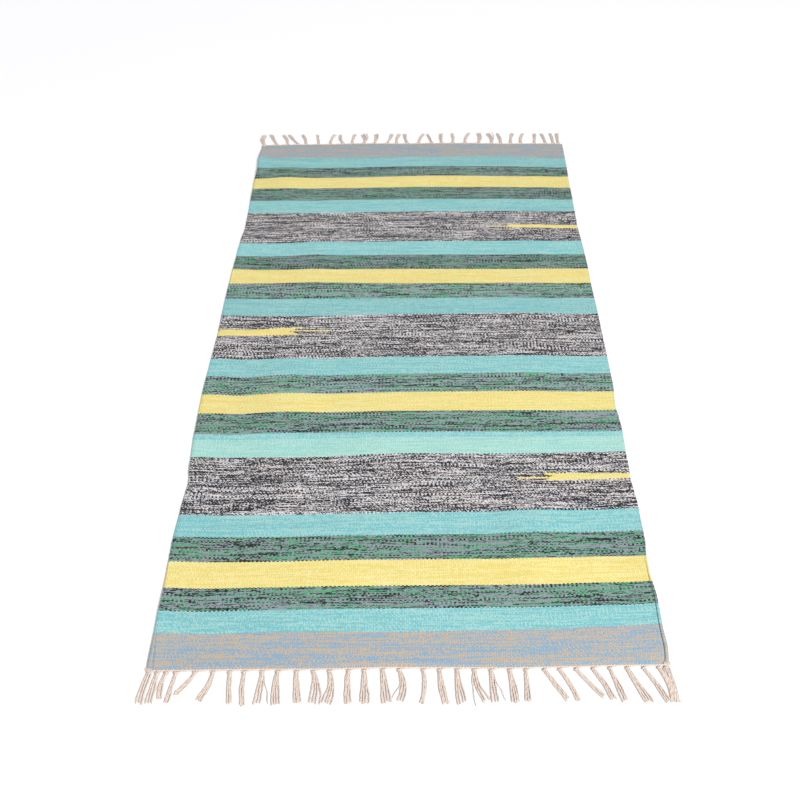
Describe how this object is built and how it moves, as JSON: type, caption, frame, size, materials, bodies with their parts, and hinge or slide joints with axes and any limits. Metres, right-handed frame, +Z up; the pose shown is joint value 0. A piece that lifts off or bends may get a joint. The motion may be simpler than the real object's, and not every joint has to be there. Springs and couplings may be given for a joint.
{
  "type": "kilim rug",
  "caption": "Flat-woven striped cotton kilim runner rug with tied warp fringe at both ends, lying flat on a floor.",
  "frame": {"origin": "centre of the outline, fringes included, on the floor plane", "axes": "+Y along the rug towards the far end, +X across it to the right, +Z up from the floor"},
  "size_m": [0.8112, 1.6172, 0.0097],
  "materials": {
    "woven_cotton": "weft-faced flat weave in aqua, green, yellow, grey and beige stripes",
    "warp_yarn": "unbleached twisted cotton yarn"
  },
  "bodies": {
    "root": {"rug_cloth": "woven_cotton", "fringe_near": "warp_yarn", "fringe_far": "warp_yarn"}
  },
  "joints": []
}
